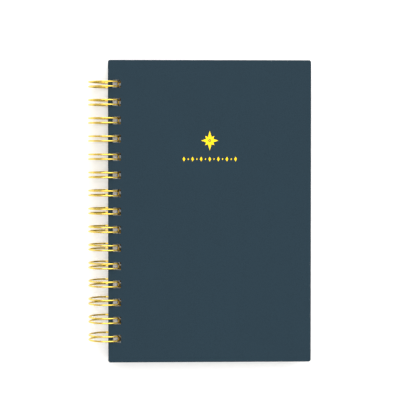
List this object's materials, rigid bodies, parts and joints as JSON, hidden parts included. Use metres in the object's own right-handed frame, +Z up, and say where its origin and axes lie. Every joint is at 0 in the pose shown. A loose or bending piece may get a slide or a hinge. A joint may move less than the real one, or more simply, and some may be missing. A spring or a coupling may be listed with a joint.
{
  "type": "wire-bound hardcover logbook",
  "caption": "Hard-cover logbook, closed and lying flat, bound along its spine with a gold double-loop wire; covers and leaves turn on the rings.",
  "frame": {"origin": "on the surface the closed book lies on, under the middle of its bounding box", "axes": "+X from the wire spine to the fore-edge, +Y from tail to head, +Z up out of the front cover"},
  "size_m": [0.1564, 0.211, 0.0254],
  "materials": {
    "cover_wrap": "fine-grained leatherette in dark slate navy, matte",
    "cover_board": "solid greyboard, cut edges",
    "endpaper": "uncoated off-white endpaper",
    "leaf_paper": "smooth uncoated writing paper with ruled log columns",
    "title_paper": "smooth uncoated paper with a plain ruled panel",
    "binding_wire": "gold-coated steel wire, polished",
    "foil": "hot-stamped gold foil"
  },
  "bodies": {
    "back_cover": {"back_cover_board": "cover_board", "back_cover_wrap": "cover_wrap", "back_cover_endpaper": "endpaper"},
    "leaf_set_01": {"leaf_set_01": "leaf_paper"},
    "leaf_set_02": {"leaf_set_02": "leaf_paper"},
    "leaf_set_03": {"leaf_set_03": "leaf_paper"},
    "leaf_set_04": {"leaf_set_04": "leaf_paper"},
    "leaf_set_05": {"leaf_set_05": "leaf_paper"},
    "leaf_set_06": {"leaf_set_06": "leaf_paper"},
    "leaf_set_07": {"leaf_set_07": "leaf_paper"},
    "leaf_set_08": {"leaf_set_08": "leaf_paper"},
    "leaf_set_09": {"leaf_set_09": "leaf_paper"},
    "leaf_set_10": {"leaf_set_10": "leaf_paper"},
    "leaf_set_11": {"leaf_set_11": "leaf_paper"},
    "leaf_set_12": {"leaf_set_12": "leaf_paper"},
    "title_leaf": {"title_leaf": "title_paper", "binding_wire": "binding_wire"},
    "front_cover": {"front_cover_board": "cover_board", "front_cover_wrap": "cover_wrap", "front_cover_endpaper": "endpaper", "foil_star": "foil", "foil_lozenges": "foil"}
  },
  "joints": [
    {"name": "leaf_set_01_turn", "type": "hinge", "parent": "back_cover", "child": "leaf_set_01", "pos_m": [-0.06552, 0, 0.0127], "axis": [0, -1, 0], "range_deg": [0, 180]},
    {"name": "leaf_set_02_turn", "type": "hinge", "parent": "leaf_set_01", "child": "leaf_set_02", "pos_m": [-0.06552, 0, 0.0127], "axis": [0, -1, 0], "range_deg": [0, 180]},
    {"name": "leaf_set_03_turn", "type": "hinge", "parent": "leaf_set_02", "child": "leaf_set_03", "pos_m": [-0.06552, 0, 0.0127], "axis": [0, -1, 0], "range_deg": [0, 180]},
    {"name": "leaf_set_04_turn", "type": "hinge", "parent": "leaf_set_03", "child": "leaf_set_04", "pos_m": [-0.06552, 0, 0.0127], "axis": [0, -1, 0], "range_deg": [0, 180]},
    {"name": "leaf_set_05_turn", "type": "hinge", "parent": "leaf_set_04", "child": "leaf_set_05", "pos_m": [-0.06552, 0, 0.0127], "axis": [0, -1, 0], "range_deg": [0, 180]},
    {"name": "leaf_set_06_turn", "type": "hinge", "parent": "leaf_set_05", "child": "leaf_set_06", "pos_m": [-0.06552, 0, 0.0127], "axis": [0, -1, 0], "range_deg": [0, 180]},
    {"name": "leaf_set_07_turn", "type": "hinge", "parent": "leaf_set_06", "child": "leaf_set_07", "pos_m": [-0.06552, 0, 0.0127], "axis": [0, -1, 0], "range_deg": [0, 180]},
    {"name": "leaf_set_08_turn", "type": "hinge", "parent": "leaf_set_07", "child": "leaf_set_08", "pos_m": [-0.06552, 0, 0.0127], "axis": [0, -1, 0], "range_deg": [0, 180]},
    {"name": "leaf_set_09_turn", "type": "hinge", "parent": "leaf_set_08", "child": "leaf_set_09", "pos_m": [-0.06552, 0, 0.0127], "axis": [0, -1, 0], "range_deg": [0, 180]},
    {"name": "leaf_set_10_turn", "type": "hinge", "parent": "leaf_set_09", "child": "leaf_set_10", "pos_m": [-0.06552, 0, 0.0127], "axis": [0, -1, 0], "range_deg": [0, 180]},
    {"name": "leaf_set_11_turn", "type": "hinge", "parent": "leaf_set_10", "child": "leaf_set_11", "pos_m": [-0.06552, 0, 0.0127], "axis": [0, -1, 0], "range_deg": [0, 180]},
    {"name": "leaf_set_12_turn", "type": "hinge", "parent": "leaf_set_11", "child": "leaf_set_12", "pos_m": [-0.06552, 0, 0.0127], "axis": [0, -1, 0], "range_deg": [0, 180]},
    {"name": "title_leaf_turn", "type": "hinge", "parent": "leaf_set_12", "child": "title_leaf", "pos_m": [-0.06552, 0, 0.0127], "axis": [0, -1, 0], "range_deg": [0, 180]},
    {"name": "front_cover_turn", "type": "hinge", "parent": "title_leaf", "child": "front_cover", "pos_m": [-0.06552, 0, 0.0127], "axis": [0, -1, 0], "range_deg": [0, 182.8]}
  ]
}
